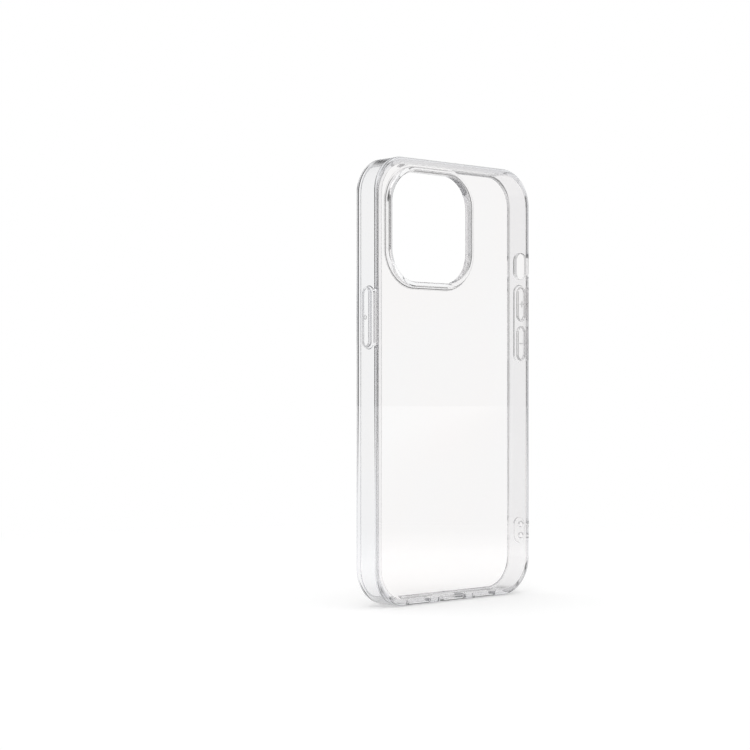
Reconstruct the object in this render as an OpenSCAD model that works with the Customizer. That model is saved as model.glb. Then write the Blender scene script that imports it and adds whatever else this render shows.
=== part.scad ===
// Clear two-material phone case with sprung side keys.
// The case stands on its bottom edge: +Z runs along its length, +X to the right as seen from the
// back, and the back faces -Y. The origin is the middle of the box's bottom. Every module is drawn
// lying down (x across, y along the length, z towards the back) and stood up at the end.

/* [Phone] */
// Length of the phone that the case fits
phone_h = 147.5; // [130:0.1:165]
// Width of the phone
phone_w = 71.5; // [64:0.1:80]
// Thickness of the phone
phone_t = 7.85; // [7:0.05:9]
// Corner radius of the phone's outline
phone_r = 11.1; // [9:0.1:13]

/* [Walls] */
// Thickness of the soft side wall
wall = 1.9; // [1.7:0.1:2.5]
// Thickness of the stiff back plate
plate_t = 1.2; // [1:0.1:1.6]
// Height of the lip that stands in front of the screen
lip_t = 1.35; // [1:0.05:1.8]
// How far the lip reaches in over the phone
lip_reach = 0.5; // [0.3:0.1:1]
// Rounding of the outer edge at the back
back_round = 1.6; // [1:0.1:2.1]
// Rounding of the outer edge at the front
front_round = 0.9; // [0.6:0.1:1]
// Rounding of the lip's inner edge at the front
lip_round = 0.9; // [0.4:0.1:1]
// How far the plate's hidden step reaches in under the soft skin
tongue_reach = 1.3; // [0.8:0.1:1.3]
// Thickness of the plate's hidden step
tongue_t = 0.6; // [0.5:0.05:0.7]

/* [Camera] */
// Width of the camera opening
cam_w = 37; // [30:0.5:38]
// Length of the camera opening
cam_h = 37; // [30:0.5:38]
// Corner radius of the camera opening
cam_r = 11; // [8:0.5:12]
// Distance from the case's left side to the camera opening
cam_left = 6.05; // [5.5:0.05:8]
// Distance from the case's top to the camera opening
cam_top = 5.1; // [5.1:0.1:8]
// Width of the raised guard ring
guard_w = 2.6; // [2.2:0.1:2.6]
// Height of the guard ring above the back
guard_rise = 1.8; // [1:0.1:2.2]

/* [Keys] */
// Length of the power key's base
power_len = 20.3; // [16:0.1:24]
// Height of the power key's middle above the case's bottom
power_z = 96.85; // [80:0.05:105]
// Length of each volume key's base
volume_len = 12.5; // [10:0.1:13]
// Height of the middle between the two volume keys
volume_z = 96.6; // [85:0.05:100]
// Distance between the middles of the two volume keys
volume_pitch = 14.2; // [13.8:0.1:15]
// Width of each key's base
key_base_w = 4.3; // [3.8:0.1:4.5]
// Width of each key's top
key_top_w = 3.3; // [3:0.1:3.4]
// How far each key stands proud of the wall
key_rise = 0.85; // [0.6:0.05:1]
// Depth of the clear space behind each key, from the wall's inner face
key_pocket_depth = 0.6; // [0.4:0.1:0.9]
// Width of the clear space behind each key
key_pocket_w = 5.1; // [4.8:0.1:5.4]

/* [Side openings] */
// Distance from the back to the middle line of the keys and side openings
feature_depth = 4.7; // [4.4:0.1:5.2]
// Width of the mute switch slot
mute_w = 5.2; // [4.2:0.1:5.6]
// Length of the mute switch slot
mute_len = 9.5; // [8:0.1:12]
// Height of the mute slot's middle
mute_z = 117.3; // [113:0.1:125]
// Width of the charge port opening
port_w = 13.5; // [11:0.5:15]
// Depth of the charge port opening, back to front
port_d = 6; // [5:0.1:6]
// Width of each speaker slot
speaker_w = 11.5; // [9:0.5:12]
// Depth of each speaker slot, back to front
speaker_d = 3; // [2:0.1:4]
// Distance from the middle of the case to the middle of each speaker slot
speaker_x = 15.8; // [15:0.1:17]

/* [Lanyard] */
// Diameter of each cord hole
cord_hole_d = 2.1; // [1.6:0.1:2.4]
// Distance between the two cord holes
cord_hole_pitch = 4; // [3.4:0.1:5]
// Height of the middle between the two cord holes
cord_z = 22.3; // [18:0.1:40]
// Length of the pocket that the cord's loop lies in
cord_pocket_len = 9.1; // [8.5:0.1:12]
// Width of the cord's pocket
cord_pocket_w = 5.1; // [4:0.1:5.4]
// Depth of the cord's pocket
cord_pocket_depth = 0.6; // [0.3:0.1:1]

/* [Hidden] */
$fn = 64;

case_w = phone_w + 2 * wall;
case_h = phone_h + 2 * wall;
case_d = plate_t + phone_t + lip_t;
case_r = phone_r + wall;

// Height of the outer back face above the middle of the box, which counts the guard ring
back_z = (case_d + guard_rise) / 2 - guard_rise;
front_z = back_z - case_d;
floor_z = back_z - plate_t;
feature_z = back_z - feature_depth;

// Middle of the camera opening
cam_x = -case_w / 2 + cam_left + cam_w / 2;
cam_y = case_h - cam_top - cam_h / 2;
// The guard's sleeve lines the hole in the plate
sleeve_t = 0.9;
guard_crest_w = 1.1;
guard_crest_round = 0.35;
guard_foot_h = 0.25;

// The bumper's skin meets the plate's face where the lip's inner edge is in front
skin_reach = wall + lip_reach;
plate_gap = skin_reach - tongue_reach;

// Key parts, with heights measured outwards from the wall's outer face
web_rise = 0.5;
web_crest_w = 0.12;
key_depth = wall - 0.5;
key_gap = 0.15; // clearance around the key in its window
mark_rise = 0.1;
mark_size = 2.2;
mark_line = 0.45;
ring_mark_d = 1.6;

past = 1; // how far a cutter runs past the face that it opens
volume_up_z = volume_z + volume_pitch / 2;
volume_down_z = volume_z - volume_pitch / 2;
volume_pocket_len = volume_pitch + volume_len + 1.1;
power_pocket_len = power_len + 0.8;

// Stands the part up: what was drawn facing up becomes the back
module upright() { rotate([90, 0, 0]) children(); }

// Sweeps a section around a rounded rectangle that is centred on [0, 0]. The section's x runs
// outwards from the corner's centre, and its y is the height.
module around(w, h, r) {
    turns = [[1, 1, h], [-1, 1, w], [-1, -1, h], [1, -1, w]];
    for (k = [0:3])
        translate([turns[k][0] * (w / 2 - r), turns[k][1] * (h / 2 - r), 0])
            rotate([0, 0, 90 * k]) {
                rotate_extrude(angle = 90) children();
                rotate([90, 0, 0]) linear_extrude(turns[k][2] - 2 * r) children();
            }
}

// A flat slab with a rounded rectangular outline, centred on [0, 0]
module slab(w, h, r, z0, z1) {
    translate([0, 0, z0]) linear_extrude(z1 - z0) union() {
        square([w - 2 * r, h], center = true);
        square([w, h - 2 * r], center = true);
        for (x = [-1, 1], y = [-1, 1]) translate([x * (w / 2 - r), y * (h / 2 - r)]) circle(r);
    }
}

// A pill-shaped outline along y, centred on [0, 0]
module pill_outline(w, len) {
    square([w, len - w], center = true);
    for (end = [-1, 1]) translate([0, end * (len - w) / 2]) circle(d = w);
}

// A pill-shaped bar that lies along y and runs from height a to height b
module pill(w, len, a, b) { translate([0, 0, a]) linear_extrude(b - a) pill_outline(w, len); }

// Places a shape on a side wall: its z points out of the wall and its y along the case.
// The side is 1 for the right wall and -1 for the left.
module on_side(side, along) {
    translate([side * case_w / 2, along, feature_z]) rotate([0, side * 90, 0]) children();
}

// Places a shape on the bottom wall: its z points out of the wall and its y across the case
module on_bottom(across) {
    translate([across, 0, feature_z]) rotate([90, 0, 0]) rotate([0, 0, 90]) children();
}

// What a rounding of radius r takes off a square corner at [0, 0] that lies towards +x and +y
module corner_waste(r) {
    difference() {
        square(r);
        circle(r);
    }
}

// Section of the soft frame: x is minus the distance from the outer side, y the height
module bumper_section() {
    difference() {
        translate([-skin_reach, front_z]) square([skin_reach, case_d]);
        // Space for the phone, and for the plate's step
        translate([-skin_reach - past, floor_z - phone_t]) square([lip_reach + past, phone_t]);
        translate([-skin_reach - past, floor_z]) square([tongue_reach + past, tongue_t]);
        // Roundings: back edge, front edge, lip's inner edge
        translate([-back_round, back_z - back_round]) corner_waste(back_round);
        translate([-front_round, front_z + front_round]) mirror([0, 1]) corner_waste(front_round);
        translate([-skin_reach + lip_round, front_z + lip_round])
            rotate(180) corner_waste(lip_round);
    }
}

// A window that lets a key through the skin. The web's foot stands on the skin around it.
module key_window(side, along, len) {
    window_w = key_top_w + 2 * key_gap;
    on_side(side, along) pill(window_w, len - key_base_w + window_w, -wall - past, past);
}

module key_pocket(side, along, len) {
    on_side(side, along) pill(key_pocket_w, len, -wall - past, -wall + key_pocket_depth);
}

module bumper() {
    color([0.90, 0.92, 0.93, 0.5]) upright() difference() {
        translate([0, case_h / 2, 0]) around(case_w, case_h, case_r)
            translate([case_r, 0]) bumper_section();
        // Keys
        key_window(-1, power_z, power_len);
        key_pocket(-1, power_z, power_pocket_len);
        key_window(1, volume_up_z, volume_len);
        key_window(1, volume_down_z, volume_len);
        key_pocket(1, volume_z, volume_pocket_len);
        // Mute switch
        on_side(1, mute_z) pill(mute_w, mute_len, -wall - past, past);
        // Cord pocket and its two holes
        on_side(1, cord_z)
            pill(cord_pocket_w, cord_pocket_len, -wall - past, -wall + cord_pocket_depth);
        for (end = [-1, 1]) on_side(1, cord_z + end * cord_hole_pitch / 2)
            translate([0, 0, -wall - past]) cylinder(d = cord_hole_d, h = wall + 2 * past);
        // Charge port and speaker slots
        on_bottom(0) pill(port_d, port_w, -wall - past, past);
        for (side = [-1, 1]) on_bottom(side * speaker_x)
            pill(speaker_d, speaker_w, -wall - past, past);
    }
}

module back_plate() {
    hole_w = cam_w + 2 * sleeve_t;
    hole_h = cam_h + 2 * sleeve_t;
    color([0.95, 0.96, 0.97, 0.4]) upright() difference() {
        translate([0, case_h / 2, 0]) {
            slab(case_w - 2 * skin_reach, case_h - 2 * skin_reach, case_r - skin_reach,
                floor_z, back_z);
            slab(case_w - 2 * plate_gap, case_h - 2 * plate_gap, case_r - plate_gap,
                floor_z, floor_z + tongue_t);
        }
        translate([cam_x, cam_y, 0])
            slab(hole_w, hole_h, cam_r + sleeve_t, floor_z - past, back_z + past);
    }
}

// Section of the guard ring: x is the distance outwards from the opening's edge
module guard_section() {
    crest_z = back_z + guard_rise;
    difference() {
        polygon([
            [0, floor_z], [sleeve_t, floor_z], [sleeve_t, back_z], [guard_w, back_z],
            [guard_w, back_z + guard_foot_h], [guard_crest_w + guard_crest_round, crest_z],
            [0, crest_z],
        ]);
        translate([guard_crest_round, crest_z - guard_crest_round])
            mirror([1, 0]) corner_waste(guard_crest_round);
    }
}

module camera_guard() {
    color([0.86, 0.88, 0.90, 0.6]) upright() translate([cam_x, cam_y, 0])
        around(cam_w, cam_h, cam_r) translate([cam_r, 0]) guard_section();
}

// A raised ring on the power key's top
module ring_mark() {
    difference() {
        cylinder(d = ring_mark_d, h = mark_rise);
        translate([0, 0, -past]) cylinder(d = ring_mark_d - 2 * mark_line, h = mark_rise + 2 * past);
    }
}

// A raised bar across the key, or along it
module bar_mark(along) {
    size = along ? [mark_line, mark_size] : [mark_size, mark_line];
    translate([-size[0] / 2, -size[1] / 2, 0]) cube([size[0], size[1], mark_rise]);
}

// A key is one solid block: its inner end pushes the phone's own button, and the children are the
// raised mark on its top
module key(len) {
    top_z = key_rise - mark_rise;
    pill(key_top_w, len - key_base_w + key_top_w, -key_depth, top_z);
    translate([0, 0, top_z]) children();
}

// Section of the sloping web between the wall and a key's side, from the pill's middle line
module web_section() {
    base = key_base_w / 2;
    top = key_top_w / 2;
    polygon([[top, 0], [base, 0], [top + web_crest_w, web_rise], [top, web_rise]]);
}

module key_web(len) {
    run = len - key_base_w;
    for (end = [0, 180]) rotate([0, 0, end]) translate([0, run / 2, 0]) {
        rotate_extrude(angle = 180) web_section();
        rotate([90, 0, 0]) linear_extrude(run) web_section();
    }
}

module soft_key_colour() { color([0.88, 0.90, 0.92, 0.6]) children(); }

module power_key() {
    soft_key_colour() upright() on_side(-1, power_z) key(power_len) ring_mark();
}

module power_key_web() {
    soft_key_colour() upright() on_side(-1, power_z) key_web(power_len);
}

module volume_up_key() {
    soft_key_colour() upright() on_side(1, volume_up_z) key(volume_len) {
        bar_mark(false);
        bar_mark(true);
    }
}

module volume_up_key_web() {
    soft_key_colour() upright() on_side(1, volume_up_z) key_web(volume_len);
}

module volume_down_key() {
    soft_key_colour() upright() on_side(1, volume_down_z) key(volume_len) bar_mark(false);
}

module volume_down_key_web() {
    soft_key_colour() upright() on_side(1, volume_down_z) key_web(volume_len);
}

back_plate();
bumper();
camera_guard();
power_key();
power_key_web();
volume_up_key();
volume_up_key_web();
volume_down_key();
volume_down_key_web();
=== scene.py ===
"""Clear phone case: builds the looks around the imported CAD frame.

Sizes in this file are in millimetres, in the row frame (x right as seen from the back, y from the
back towards the screen side, z up), and turn into metres where a mesh is made.
"""
import math

import bmesh
import bpy
from mathutils import Matrix, Vector


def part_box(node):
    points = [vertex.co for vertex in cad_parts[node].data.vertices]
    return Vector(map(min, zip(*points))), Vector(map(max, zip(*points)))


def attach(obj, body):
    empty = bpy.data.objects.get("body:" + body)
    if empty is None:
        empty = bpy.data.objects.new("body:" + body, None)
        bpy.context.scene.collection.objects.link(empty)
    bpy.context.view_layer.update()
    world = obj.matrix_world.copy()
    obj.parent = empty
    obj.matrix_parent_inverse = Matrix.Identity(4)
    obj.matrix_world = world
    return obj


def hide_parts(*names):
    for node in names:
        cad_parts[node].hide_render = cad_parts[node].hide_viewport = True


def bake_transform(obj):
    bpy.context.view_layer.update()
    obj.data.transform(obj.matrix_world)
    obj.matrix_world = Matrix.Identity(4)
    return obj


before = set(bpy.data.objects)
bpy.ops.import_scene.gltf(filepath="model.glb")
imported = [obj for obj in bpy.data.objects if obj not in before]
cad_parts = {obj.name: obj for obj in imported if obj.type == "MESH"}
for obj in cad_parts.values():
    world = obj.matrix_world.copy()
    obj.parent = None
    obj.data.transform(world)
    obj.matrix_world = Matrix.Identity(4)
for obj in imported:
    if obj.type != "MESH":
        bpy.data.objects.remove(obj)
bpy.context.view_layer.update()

MM = 0.001
OVERLAP = 0.02  # bonded faces run this far into each other, so that no air gap shows between them
AIR = 1.0  # how far a cutter runs past the faces that it opens


def node_box(name):
    """Lowest and highest corner of a CAD node, in millimetres."""
    low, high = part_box(name)
    return [c / MM for c in low], [c / MM for c in high]


# ---------------------------------------------------------------- sizes from the frame
BUMPER_LOW, BUMPER_HIGH = node_box("bumper")
PLATE_LOW, PLATE_HIGH = node_box("back_plate")
GUARD_LOW, GUARD_HIGH = node_box("camera_guard")

CASE_W = BUMPER_HIGH[0] - BUMPER_LOW[0]
CASE_H = BUMPER_HIGH[2]
CASE_D = BUMPER_HIGH[1] - BUMPER_LOW[1]
HALF_W = CASE_W / 2
BACK_Y = BUMPER_LOW[1]  # the outer back face
FRONT_Y = BUMPER_HIGH[1]  # the front of the lip
PLATE_T = PLATE_HIGH[1] - PLATE_LOW[1]
TONGUE_INSET = HALF_W - PLATE_HIGH[0]  # from the outer side to the edge of the plate's hidden step

# ---------------------------------------------------------------- sizes that the frame doesn't tell
WALL = 1.9  # the soft side wall
CORNER_R = 13.0
PHONE_T = 7.85
LIP_REACH = 0.5
SKIN_REACH = WALL + LIP_REACH  # from the outer side to where the soft frame meets the plate's face
TONGUE_T = 0.6  # the plate's hidden step
BACK_ROUND = 1.6
FRONT_ROUND = 0.9
LIP_ROUND = 0.9

GUARD_W = 2.6
GUARD_SLEEVE = 0.9  # the part of the guard that lines the hole in the plate
GUARD_RISE = BACK_Y - GUARD_LOW[1]
CAM_R = 11.0
CAM_W = GUARD_HIGH[0] - GUARD_LOW[0] - 2 * GUARD_W
CAM_H = GUARD_HIGH[2] - GUARD_LOW[2] - 2 * GUARD_W
CAM_X = (GUARD_LOW[0] + GUARD_HIGH[0]) / 2
CAM_Z = (GUARD_LOW[2] + GUARD_HIGH[2]) / 2

KEY_BASE_W = 4.3
KEY_TOP_W = 3.3
KEY_RISE = 0.75  # the cap's top, under the raised mark
KEY_EDGE_ROUND = 0.22
KEY_DEPTH = WALL - 0.5  # from the wall's outer face to the key's inner end
KEY_GAP = 0.15  # clearance around the key in its window
WEB_RISE = 0.5
WEB_CREST = 0.12
KEY_POCKET_W = 5.1
KEY_POCKET_DEPTH = 0.6
POWER_POCKET_MORE = 0.8  # the pocket's length past the power key's web
VOLUME_POCKET_MORE = 1.1  # and past the two volume keys' webs
MARK_RISE = 0.1
MARK_SIZE = 2.2
MARK_LINE = 0.45
MARK_ROUND = 0.05
MARK_END = 0.15
RING_MARK_R = 0.8

MUTE_Z, MUTE_W, MUTE_LEN = 117.3, 5.2, 9.5
CORD_Z, CORD_PITCH, CORD_HOLE_R = 22.3, 4.0, 1.05
CORD_POCKET_W, CORD_POCKET_LEN, CORD_POCKET_DEPTH = 5.1, 9.1, 0.6
PORT_D, PORT_W = 6.0, 13.5
SPEAKER_X, SPEAKER_D, SPEAKER_W = 15.8, 3.0, 11.5

# The middle line of the keys and the side openings
FEATURE_Y = sum(node_box("power_key")[i][1] for i in (0, 1)) / 2


def middle_z(name):
    """Height of a CAD node's middle."""
    low, high = node_box(name)
    return (low[2] + high[2]) / 2


def length_z(name):
    """Length of a CAD node along the case."""
    low, high = node_box(name)
    return high[2] - low[2]


# ---------------------------------------------------------------- outlines
def rounded(corners, steps=8):
    """A closed outline from [(x, y, radius), ...], with each corner turned into an arc."""
    outline = []
    count = len(corners)
    for i, (x, y, radius) in enumerate(corners):
        here = Vector((x, y))
        back = (Vector(corners[i - 1][:2]) - here).normalized()
        ahead = (Vector(corners[(i + 1) % count][:2]) - here).normalized()
        if radius == 0:
            outline.append((x, y))
            continue
        half = back.angle(ahead) / 2
        reach = radius / math.tan(half)
        start, end = here + back * reach, here + ahead * reach
        centre = here + (back + ahead).normalized() * radius / math.sin(half)
        a, b = start - centre, end - centre
        turn = math.atan2(a.x * b.y - a.y * b.x, a.dot(b))
        for k in range(steps + 1):
            angle = turn * k / steps
            c, s = math.cos(angle), math.sin(angle)
            outline.append((centre.x + a.x * c - a.y * s, centre.y + a.x * s + a.y * c))
    return outline


def rectangle_path(width, height, radius, steps):
    """Points (x, z, outward x, outward z) around a rounded rectangle centred on (0, 0)."""
    path = []
    corners = ((1, 1), (-1, 1), (-1, -1), (1, -1))
    for k, (sx, sz) in enumerate(corners):
        cx, cz = sx * (width / 2 - radius), sz * (height / 2 - radius)
        for i in range(steps + 1):
            angle = math.pi / 2 * (k + i / steps)
            nx, nz = math.cos(angle), math.sin(angle)
            path.append((cx + radius * nx, cz + radius * nz, nx, nz))
    return path


def pill(half_width, run, steps=14):
    """Points (across, along) around a pill whose middle line is run long."""
    points = []
    for end in (1, -1):
        for i in range(steps + 1):
            angle = math.pi * i / steps
            across, along = half_width * math.cos(angle), half_width * math.sin(angle)
            points.append((end * across, end * (run / 2 + along)))
    return points


# ---------------------------------------------------------------- meshes
def new_object(name, points, faces):
    """A closed mesh object from points in millimetres, with its normals facing out."""
    mesh = bpy.data.meshes.new(name)
    mesh.from_pydata([[c * MM for c in p] for p in points], [], faces)
    work = bmesh.new()
    work.from_mesh(mesh)
    bmesh.ops.remove_doubles(work, verts=work.verts, dist=1e-7)
    bmesh.ops.recalc_face_normals(work, faces=work.faces)
    work.to_mesh(mesh)
    work.free()
    obj = bpy.data.objects.new(name, mesh)
    bpy.context.collection.objects.link(obj)
    return obj


def loft(name, rings, closed=False):
    """Skins rings of equal length. A closed loft joins the last ring to the first; an open one is capped."""
    size = len(rings[0])
    points = [p for ring in rings for p in ring]
    faces = []
    for r in range(len(rings) if closed else len(rings) - 1):
        a, b = r * size, (r + 1) % len(rings) * size
        faces += [[a + i, a + (i + 1) % size, b + (i + 1) % size, b + i] for i in range(size)]
    if not closed:
        faces.append(list(range(size))[::-1])
        faces.append([(len(rings) - 1) * size + i for i in range(size)])
    return new_object(name, points, faces)


def sweep(name, section, width, height, radius, centre, steps=36):
    """Sweeps a section [(inwards, y), ...] around a rounded rectangle in the x-z plane."""
    rings = []
    for x, z, nx, nz in rectangle_path(width, height, radius, steps):
        rings.append([(centre[0] + x - nx * u, y, centre[1] + z - nz * u) for u, y in section])
    return loft(name, rings, closed=True)


def slab(name, profile, width, height, radius, centre, steps=36):
    """A slab with a rounded rectangular outline. The profile [(inset, y), ...] runs from face to face."""
    rings = []
    for inset, y in profile:
        path = rectangle_path(width, height, radius, steps)
        rings.append([(centre[0] + x - nx * inset, y, centre[1] + z - nz * inset) for x, z, nx, nz in path])
    return loft(name, rings)


def side_wall(side, along):
    """Maps (outwards, across, along) from the side wall's outer face at a height to the row frame."""
    return lambda out, across, run: (side * (HALF_W + out), FEATURE_Y + across, along + run)


def bottom_wall(x):
    """Maps (outwards, across, along) from the bottom wall's outer face to the row frame."""
    return lambda out, across, run: (x + run, FEATURE_Y + across, -out)


def pill_loft(name, place, profile, run, steps=14):
    """Stacks pill outlines: the profile is [(half width, outwards), ...]."""
    return loft(name, [[place(out, a, b) for a, b in pill(half, run, steps)] for half, out in profile])


def flare(radius, surface, towards, steps=6):
    """(grow, out) pairs of a cutter that rounds the edge of the hole at a surface. towards is 1 where
    the open air is outwards and -1 where it is inwards."""
    pairs = []
    for k in range(steps + 1):
        angle = math.pi / 2 * k / steps
        pairs.append((radius * (1 - math.cos(angle)), surface - towards * radius * (1 - math.sin(angle))))
    return pairs


def through_cutter(name, place, width, length, edge):
    """A pill-shaped cutter through the wall, whose hole has rounded edges on both faces."""
    inner = flare(edge, -WALL, -1)[::-1]
    outer = flare(edge, 0, 1)
    profile = [(inner[0][0], -WALL - AIR)] + inner + outer + [(outer[-1][0], AIR)]
    return pill_loft(name, place, [(width / 2 + grow, out) for grow, out in profile], length - width)


def pocket_cutter(name, place, width, length, depth, edge=0.2):
    """A pill-shaped cutter from the wall's inner face, with a rounded rim and a rounded floor."""
    rim = flare(edge, -WALL, -1)[::-1]
    foot = [(-grow, out) for grow, out in flare(edge, -WALL + depth, 1, 4)]
    profile = [(rim[0][0], -WALL - AIR)] + rim + foot
    return pill_loft(name, place, [(width / 2 + grow, out) for grow, out in profile], length - width)


def cut(obj, cutters):
    """Takes the cutters' shapes out of obj, exactly, and deletes them."""
    for cutter in cutters:
        change = obj.modifiers.new(cutter.name, "BOOLEAN")
        change.operation = "DIFFERENCE"
        change.solver = "EXACT"
        change.object = cutter
    bake_modifiers(obj)
    for cutter in cutters:
        bpy.data.objects.remove(cutter)


def bake_modifiers(obj):
    """Makes the result of the modifiers the object's own mesh."""
    depsgraph = bpy.context.evaluated_depsgraph_get()
    baked = bpy.data.meshes.new_from_object(obj.evaluated_get(depsgraph))
    obj.modifiers.clear()
    obj.data = baked
    baked.name = obj.name


def smooth(obj, angle=32):
    """Smooth shading that keeps edges sharper than the angle, with flat faces kept truly flat."""
    mesh = obj.data
    work = bmesh.new()
    work.from_mesh(mesh)
    bmesh.ops.dissolve_degenerate(work, dist=1e-7, edges=work.edges)
    for face in work.faces:
        face.smooth = True
    for edge in work.edges:
        edge.smooth = edge.is_manifold and edge.calc_face_angle(0) < math.radians(angle)
    work.to_mesh(mesh)
    work.free()
    weighted = obj.modifiers.new("weighted_normals", "WEIGHTED_NORMAL")
    weighted.mode = "FACE_AREA"
    weighted.weight = 60
    weighted.keep_sharp = True
    bake_modifiers(obj)


# ---------------------------------------------------------------- materials
def clear_plastic(name, tint, ior, roughness, haze, ripple, density, speck_scale):
    """A clear moulded plastic: slight colour drift, uneven polish and a faint ripple in its surface."""
    material = bpy.data.materials.new(name)
    material.use_nodes = True
    nodes, links = material.node_tree.nodes, material.node_tree.links
    nodes.clear()
    out = nodes.new("ShaderNodeOutputMaterial")
    shader = nodes.new("ShaderNodeBsdfPrincipled")
    shader.inputs["IOR"].default_value = ior
    shader.inputs["Transmission Weight"].default_value = 1.0
    links.new(shader.outputs["BSDF"], out.inputs["Surface"])

    place = nodes.new("ShaderNodeTexCoord")

    def noise(scale, detail):
        node = nodes.new("ShaderNodeTexNoise")
        node.inputs["Scale"].default_value = scale
        node.inputs["Detail"].default_value = detail
        links.new(place.outputs["Object"], node.inputs["Vector"])
        return node

    drift = nodes.new("ShaderNodeValToRGB")
    drift.color_ramp.elements[0].position = 0.35
    drift.color_ramp.elements[0].color = (*tint[0], 1)
    drift.color_ramp.elements[1].position = 0.65
    drift.color_ramp.elements[1].color = (*tint[1], 1)
    links.new(noise(25, 2).outputs["Fac"], drift.inputs["Fac"])
    links.new(drift.outputs["Color"], shader.inputs["Base Color"])

    polish = nodes.new("ShaderNodeMapRange")
    polish.inputs["To Min"].default_value = roughness
    polish.inputs["To Max"].default_value = roughness + haze
    links.new(noise(60, 3).outputs["Fac"], polish.inputs["Value"])
    links.new(polish.outputs["Result"], shader.inputs["Roughness"])

    bump = nodes.new("ShaderNodeBump")
    bump.inputs["Strength"].default_value = ripple
    bump.inputs["Distance"].default_value = 0.0002
    links.new(noise(speck_scale, 1).outputs["Fac"], bump.inputs["Height"])
    links.new(bump.outputs["Normal"], shader.inputs["Normal"])

    volume = nodes.new("ShaderNodeVolumeAbsorption")
    volume.inputs["Color"].default_value = (0.62, 0.64, 0.67, 1)
    volume.inputs["Density"].default_value = density
    links.new(volume.outputs["Volume"], out.inputs["Volume"])
    return material


PANEL = clear_plastic(
    "clear_panel", tint=((0.965, 0.95, 0.945), (0.96, 0.955, 0.955)),
    ior=1.57, roughness=0.0, haze=0.01, ripple=0.01, density=2, speck_scale=40)
SOFT = clear_plastic(
    "clear_soft_frame", tint=((0.93, 0.932, 0.942), (0.945, 0.94, 0.94)),
    ior=1.5, roughness=0.0, haze=0.005, ripple=0.006, density=34, speck_scale=90)
GUARD = clear_plastic(
    "clear_guard", tint=((0.96, 0.965, 0.97), (0.975, 0.97, 0.97)),
    ior=1.4, roughness=0.04, haze=0.04, ripple=0.02, density=3, speck_scale=90)
KEYS = clear_plastic(
    "clear_keys", tint=((0.95, 0.955, 0.96), (0.965, 0.96, 0.96)),
    ior=1.5, roughness=0.0, haze=0.02, ripple=0.01, density=15, speck_scale=150)
MARKS = clear_plastic(
    "frosted_marks", tint=((0.9, 0.9, 0.91), (0.93, 0.925, 0.92)),
    ior=1.5, roughness=0.3, haze=0.15, ripple=0.2, density=15, speck_scale=900)


def dress(obj, material, body, replaced=()):
    """Gives a finished piece its material and the body that it rides on."""
    obj.data.materials.clear()
    obj.data.materials.append(material)
    if replaced:
        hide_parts(*replaced)
    if body:
        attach(obj, body)
    return obj


# ---------------------------------------------------------------- pieces
def make_bumper():
    """The soft frame, with its side openings cut out."""
    back, front = BACK_Y, FRONT_Y
    floor = back + PLATE_T
    section = rounded([
        (0, back, BACK_ROUND), (0, front, FRONT_ROUND), (SKIN_REACH, front, LIP_ROUND),
        (SKIN_REACH, floor + PHONE_T, 0.12), (WALL, floor + PHONE_T, 0.2),
        (WALL, floor, 0), (TONGUE_INSET, floor, 0), (TONGUE_INSET, floor - TONGUE_T, 0),
        (SKIN_REACH, floor - TONGUE_T, 0), (SKIN_REACH, back, 0.05),
    ])
    bumper = sweep("soft_bumper", section, CASE_W, CASE_H, CORNER_R, (0, CASE_H / 2))
    cutters = []
    for node, side in (("power_key", -1), ("volume_up_key", 1), ("volume_down_key", 1)):
        # The window lets the key through the skin, and the web's foot stands around it
        run = length_z(node) - KEY_TOP_W
        half = KEY_TOP_W / 2 + KEY_GAP
        window = [(half, -WALL), (half, AIR)]
        cutters.append(pill_loft("window", side_wall(side, middle_z(node)), window, run))
    power_wall = side_wall(-1, middle_z("power_key"))
    power_len = length_z("power_key_web") + POWER_POCKET_MORE
    low, high = node_box("volume_down_key_web")[0][2], node_box("volume_up_key_web")[1][2]
    volume_wall = side_wall(1, (low + high) / 2)
    volume_len = high - low + VOLUME_POCKET_MORE
    cord_wall = side_wall(1, CORD_Z)
    cutters += [
        pocket_cutter("power_pocket", power_wall, KEY_POCKET_W, power_len, KEY_POCKET_DEPTH),
        pocket_cutter("volume_pocket", volume_wall, KEY_POCKET_W, volume_len, KEY_POCKET_DEPTH),
        through_cutter("mute_slot", side_wall(1, MUTE_Z), MUTE_W, MUTE_LEN, 0.15),
        pocket_cutter("cord_pocket", cord_wall, CORD_POCKET_W, CORD_POCKET_LEN, CORD_POCKET_DEPTH, 0.12),
        through_cutter("charge_port", bottom_wall(0), PORT_D, PORT_W, 0.35),
        through_cutter("speaker_left", bottom_wall(-SPEAKER_X), SPEAKER_D, SPEAKER_W, 0.25),
        through_cutter("speaker_right", bottom_wall(SPEAKER_X), SPEAKER_D, SPEAKER_W, 0.25),
    ]
    edge = 0.15
    hole = [(0, -WALL - AIR)] + flare(edge, 0, 1, 4) + [(edge, AIR)]
    profile = [(CORD_HOLE_R + grow, out) for grow, out in hole]
    for end in (-1, 1):
        place = side_wall(1, CORD_Z + end * CORD_PITCH / 2)
        cutters.append(pill_loft("cord_hole", place, profile, 0.0))
    cut(bumper, cutters)
    smooth(bumper)
    dress(bumper, SOFT, "shell", ["bumper"])


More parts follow.
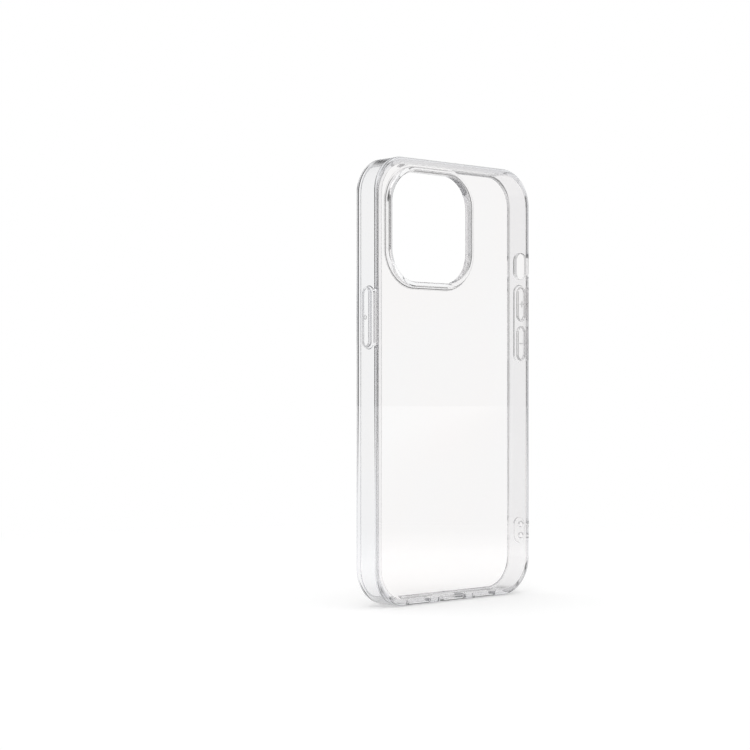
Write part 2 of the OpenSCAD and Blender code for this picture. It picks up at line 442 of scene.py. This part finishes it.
def make_plate():
    """The stiff back panel, whose hidden step runs into the frame."""
    back, floor = BACK_Y, BACK_Y + PLATE_T
    skin = SKIN_REACH - OVERLAP
    tongue = TONGUE_INSET - OVERLAP
    profile = [
        (skin + 0.8, back), (skin + 0.12, back), (skin + 0.05, back + 0.02), (skin, back + 0.07),
        (skin, floor - TONGUE_T - OVERLAP), (tongue, floor - TONGUE_T - OVERLAP),
        (tongue, floor + OVERLAP), (WALL + 0.3, floor + OVERLAP), (WALL + 1.0, floor + OVERLAP),
    ]
    plate = slab("clear_back_panel", profile, CASE_W, CASE_H, CORNER_R, (0, CASE_H / 2))
    grow = GUARD_SLEEVE - OVERLAP
    hole = slab("camera_hole", [(0, floor + AIR), (0, back - AIR)], CAM_W + 2 * grow, CAM_H + 2 * grow,
                CAM_R + grow, (CAM_X, CAM_Z))
    cut(plate, [hole])
    smooth(plate)
    dress(plate, PANEL, "shell", ["back_plate"])


def make_guard():
    """The raised ring around the camera opening."""
    back, floor = BACK_Y, BACK_Y + PLATE_T
    crest = BACK_Y - GUARD_RISE
    # Minus widths run outwards from the opening's edge
    section = rounded([
        (0, floor, 0.15), (0, crest, 0.8), (-1.5, crest, 0.8), (-2.1, back - 0.3, 0.8),
        (-GUARD_W, back - 0.08, 0.1), (-GUARD_W, back + OVERLAP, 0), (-GUARD_SLEEVE, back + OVERLAP, 0),
        (-GUARD_SLEEVE, floor, 0),
    ])
    guard = sweep("camera_guard_ring", section, CAM_W, CAM_H, CAM_R, (CAM_X, CAM_Z))
    smooth(guard)
    dress(guard, GUARD, "shell", ["camera_guard"])


def raised_mark(name, place, corners):
    """A low mark with softened edges. corners(long, thin) gives its outline from half the length and width."""
    base, top = KEY_RISE - OVERLAP, KEY_RISE + MARK_RISE
    rings = []
    for inset, out in ((0, base), (0, top - MARK_ROUND), (MARK_ROUND, top)):
        outline = rounded(corners(MARK_SIZE / 2 - inset, MARK_LINE / 2 - inset), 4)
        rings.append([place(out, x, y) for x, y in outline])
    return loft(name, rings)


def minus_corners(a, b):
    return [(a, b, MARK_END), (-a, b, MARK_END), (-a, -b, MARK_END), (a, -b, MARK_END)]


def plus_corners(a, b):
    arm = [(a, -b, MARK_END), (a, b, MARK_END), (b, b, 0)]
    outline = []
    for _ in range(4):
        outline += arm
        arm = [(-y, x, radius) for x, y, radius in arm]
    return outline


def minus_mark(name, place):
    return raised_mark(name, place, minus_corners)


def plus_mark(name, place):
    return raised_mark(name, place, plus_corners)


def ring_mark(name, place):
    """A raised mark: a low ring."""
    base, top = KEY_RISE - OVERLAP, KEY_RISE + MARK_RISE
    inner = RING_MARK_R - MARK_LINE
    section = rounded([(inner, base, 0), (inner, top, MARK_ROUND), (RING_MARK_R, top, MARK_ROUND),
                       (RING_MARK_R, base, 0)], 3)
    steps = 32
    rings = []
    for i in range(steps):
        c, s = math.cos(2 * math.pi * i / steps), math.sin(2 * math.pi * i / steps)
        rings.append([place(out, r * c, r * s) for r, out in section])
    return loft(name, rings, closed=True)


def make_key(node, side, marks):
    """A key with its raised marks, and the web that joins it to the wall."""
    place = side_wall(side, middle_z(node))
    run = length_z(node) - KEY_TOP_W
    base, top = KEY_BASE_W / 2, KEY_TOP_W / 2
    profile = [(top - 0.6, -KEY_DEPTH), (top - 0.1, -KEY_DEPTH), (top - 0.03, -KEY_DEPTH + 0.03),
               (top, -KEY_DEPTH + 0.1), (top, 0)]
    profile += [(top - grow, out) for grow, out in flare(KEY_EDGE_ROUND, KEY_RISE, 1)]
    profile.append((top - KEY_EDGE_ROUND - 0.35, KEY_RISE))
    body = node.replace("_key", "")
    key = pill_loft(node + "_cap", place, profile, run, 20)
    smooth(key)
    dress(key, KEYS, body, [node])
    for i, mark in enumerate(marks):
        piece = mark(f"{node}_mark_{i + 1}", place)
        smooth(piece)
        dress(piece, MARKS, body)

    # The web's root fills the gap around the key, and its slope runs between the wall and the key's side
    root = -WALL + KEY_POCKET_DEPTH + OVERLAP
    crest = top + WEB_CREST
    section = [
        (top - OVERLAP, root), (top + KEY_GAP + OVERLAP, root), (top + KEY_GAP + OVERLAP, -OVERLAP),
        (base + 0.1, -OVERLAP), (base + 0.1, 0.01), (base + 0.02, 0.03), (base - 0.02, 0.09),
        (base - 0.04, 0.28), (base - 0.1, 0.35), (crest, WEB_RISE - 0.07),
        (crest - 0.06, WEB_RISE), (top - OVERLAP, WEB_RISE),
    ]
    rings = [[place(out, a, b) for a, b in pill(half, run, 20)] for half, out in section]
    web = loft(node + "_web_skin", rings, closed=True)
    smooth(web)
    dress(web, SOFT, None, [node + "_web"])
    foot, rim = place(0, 0, 0), place(WEB_RISE, 0, 0)
    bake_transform(web)


make_bumper()
make_plate()
make_guard()
make_key("power_key", -1, [ring_mark])
make_key("volume_up_key", 1, [plus_mark])
make_key("volume_down_key", 1, [minus_mark])


# ---------------------------------------------------------------- camera, floor and light
def make_camera():
    azimuth, elevation, distance = math.radians(-42.45), math.radians(-0.53), 614.6
    back = Vector((math.sin(azimuth) * math.cos(elevation), -math.cos(azimuth) * math.cos(elevation),
                   math.sin(elevation)))
    right = Vector((math.cos(azimuth), math.sin(azimuth), 0))
    up = back.cross(right)
    middle = Vector((0, BACK_Y + CASE_D / 2, CASE_H / 2))
    position = (middle + back * distance + right * -24.7 + up * 2.24) * MM
    data = bpy.data.cameras.new("camera")
    data.lens = 84.84
    data.sensor_width = 36
    data.clip_start = 0.01
    camera = bpy.data.objects.new("camera", data)
    camera.matrix_world = Matrix.Translation(position) @ Matrix((right, up, back)).transposed().to_4x4()
    bpy.context.collection.objects.link(camera)
    bpy.context.scene.camera = camera
    return back


# Radiance of the studio's parts: light in the world, and painted into the floor's glow past the object
SWEEP = 1.0  # the bright sweep along the line of view: light in the world, and a painted glow on the floor under the object and past it
CARDS = 0.06  # the grey cards on both sides of the sweep, which draw the edges of a clear object: dark light in the world, and painted shade in the floor's glow
ROOM = 0.72  # the rest of the studio's sides
OVERHEAD = 1.2  # the large soft light overhead
# Cosines of the angles to the line of view (to straight up, overhead) where each part fades in
SWEEP_EDGE = (0.94, 0.955)
CARDS_EDGE = (0.72, 0.88)
OVERHEAD_EDGE = (0.78, 0.95)
STATION = 0.6  # the sweep widens from here, in metres in front of the object


def math_node(tree, operation, a, b=None):
    """The result of a math node, whose inputs are numbers or sockets."""
    node = tree.nodes.new("ShaderNodeMath")
    node.operation = operation
    for value, socket in zip((a, b), node.inputs):
        if isinstance(value, (int, float)):
            socket.default_value = value
        elif value is not None:
            tree.links.new(value, socket)
    return node.outputs["Value"]


def smooth_step(tree, value, low, high):
    """0 below low, 1 above high, and smooth in between."""
    node = tree.nodes.new("ShaderNodeMapRange")
    node.interpolation_type = "SMOOTHSTEP"
    node.inputs["From Min"].default_value = low
    node.inputs["From Max"].default_value = high
    tree.links.new(value, node.inputs["Value"])
    return node.outputs["Result"]


def fade(tree, start, end, share):
    """start where the share is 0 and end where it is 1."""
    change = math_node(tree, "SUBTRACT", end, start)
    return math_node(tree, "ADD", start, math_node(tree, "MULTIPLY", change, share))


def vector_node(tree, operation, a, b=None):
    """A vector math node, whose first input is a socket and whose second is a constant."""
    node = tree.nodes.new("ShaderNodeVectorMath")
    node.operation = operation
    tree.links.new(a, node.inputs[0])
    if b is not None:
        node.inputs[1].default_value = b
    return node.outputs


def closeness(tree, direction, axis):
    """The cosine of the angle between a direction and the axis, the same either way along it."""
    return math_node(tree, "ABSOLUTE", vector_node(tree, "DOT_PRODUCT", direction, axis)["Value"])


def studio_light(tree, direction, sweep_direction, axis):
    """Radiance of the studio: the sweep, the cards beside it and the room. The world lights with it, and the
    floor paints it into its glow.
    """
    around = fade(tree, ROOM, CARDS, smooth_step(tree, closeness(tree, direction, axis), *CARDS_EDGE))
    return fade(tree, around, SWEEP, smooth_step(tree, closeness(tree, sweep_direction, axis), *SWEEP_EDGE))


def make_world(view_axis):
    """A pale studio with a bright sweep, grey cards beside it and a large soft light overhead."""
    world = bpy.data.worlds.new("studio")
    bpy.context.scene.world = world
    world.use_nodes = True
    tree = world.node_tree
    tree.nodes.clear()
    out = tree.nodes.new("ShaderNodeOutputWorld")
    background = tree.nodes.new("ShaderNodeBackground")
    background.inputs["Color"].default_value = (1.0, 1.0, 1.0, 1)
    tree.links.new(background.outputs["Background"], out.inputs["Surface"])
    direction = tree.nodes.new("ShaderNodeTexCoord").outputs["Generated"]
    above = smooth_step(tree, closeness(tree, direction, (0, 0, 1)), *OVERHEAD_EDGE)
    sides = studio_light(tree, direction, direction, view_axis)
    tree.links.new(fade(tree, sides, OVERHEAD, above), background.inputs["Strength"])


def make_floor(view_axis):
    """A pale floor, lit, with a painted glow of its own added under the object; farther away it only glows,
    with the studio's sweep, cards and room painted into that glow.
    """
    bpy.ops.mesh.primitive_circle_add(vertices=96, radius=8, fill_type="NGON", location=(0, 0, -0.0001))
    floor = bpy.context.object
    floor.name = "floor"
    material = bpy.data.materials.new("floor")
    material.use_nodes = True
    tree = material.node_tree
    nodes, links = tree.nodes, tree.links
    paper_with_glow = nodes["Principled BSDF"]
    paper_with_glow.inputs["Base Color"].default_value = (0.85, 0.85, 0.85, 1)
    paper_with_glow.inputs["Roughness"].default_value = 0.9
    paper_with_glow.inputs["Specular IOR Level"].default_value = 0.1
    # Painted glow: the floor emits light of its own on top of its lighting, which brightens it and fills in
    # the contact shadow under the object.
    paper_with_glow.inputs["Emission Color"].default_value = (1, 1, 1, 1)
    paper_with_glow.inputs["Emission Strength"].default_value = 0.33
    place = nodes.new("ShaderNodeTexCoord").outputs["Object"]
    station = Vector((view_axis.x, view_axis.y, 0)) * STATION
    from_station = vector_node(tree, "SUBTRACT", place, station)["Vector"]
    direction, sweep_direction = (vector_node(tree, "NORMALIZE", v)["Vector"] for v in (place, from_station))
    # Painted light: past the object the floor only glows, bright along the line of view, with painted shade in
    # the directions of the grey cards and grey room elsewhere.
    painted_glow_behind = studio_light(tree, direction, sweep_direction, view_axis)
    in_front = smooth_step(tree, vector_node(tree, "DOT_PRODUCT", place, view_axis)["Value"], 0.0, 0.25)
    far_glow = nodes.new("ShaderNodeEmission")
    links.new(fade(tree, painted_glow_behind, SWEEP, in_front), far_glow.inputs["Strength"])
    distance = vector_node(tree, "LENGTH", place)["Value"]
    mix = nodes.new("ShaderNodeMixShader")
    links.new(smooth_step(tree, distance, 0.1, 0.35), mix.inputs["Fac"])
    links.new(paper_with_glow.outputs["BSDF"], mix.inputs[1])
    links.new(far_glow.outputs["Emission"], mix.inputs[2])
    links.new(mix.outputs["Shader"], nodes["Material Output"].inputs["Surface"])
    floor.data.materials.append(material)


def make_light(name, position, target, size, power):
    data = bpy.data.lights.new(name, "AREA")
    data.shape = "DISK"
    data.size = size
    data.energy = power
    lamp = bpy.data.objects.new(name, data)
    lamp.location = position
    lamp.rotation_euler = (Vector(target) - Vector(position)).to_track_quat("-Z", "Y").to_euler()
    bpy.context.collection.objects.link(lamp)


view_axis = make_camera()
make_world(view_axis)
make_floor(view_axis)
make_light("key_light", (-1.8, -1.0, 2.4), (0, 0, 0.08), 2.4, 12)

scene = bpy.context.scene
scene.view_settings.view_transform = "Standard"
scene.cycles.transmission_bounces = 64
scene.cycles.glossy_bounces = 64
scene.cycles.max_bounces = 72
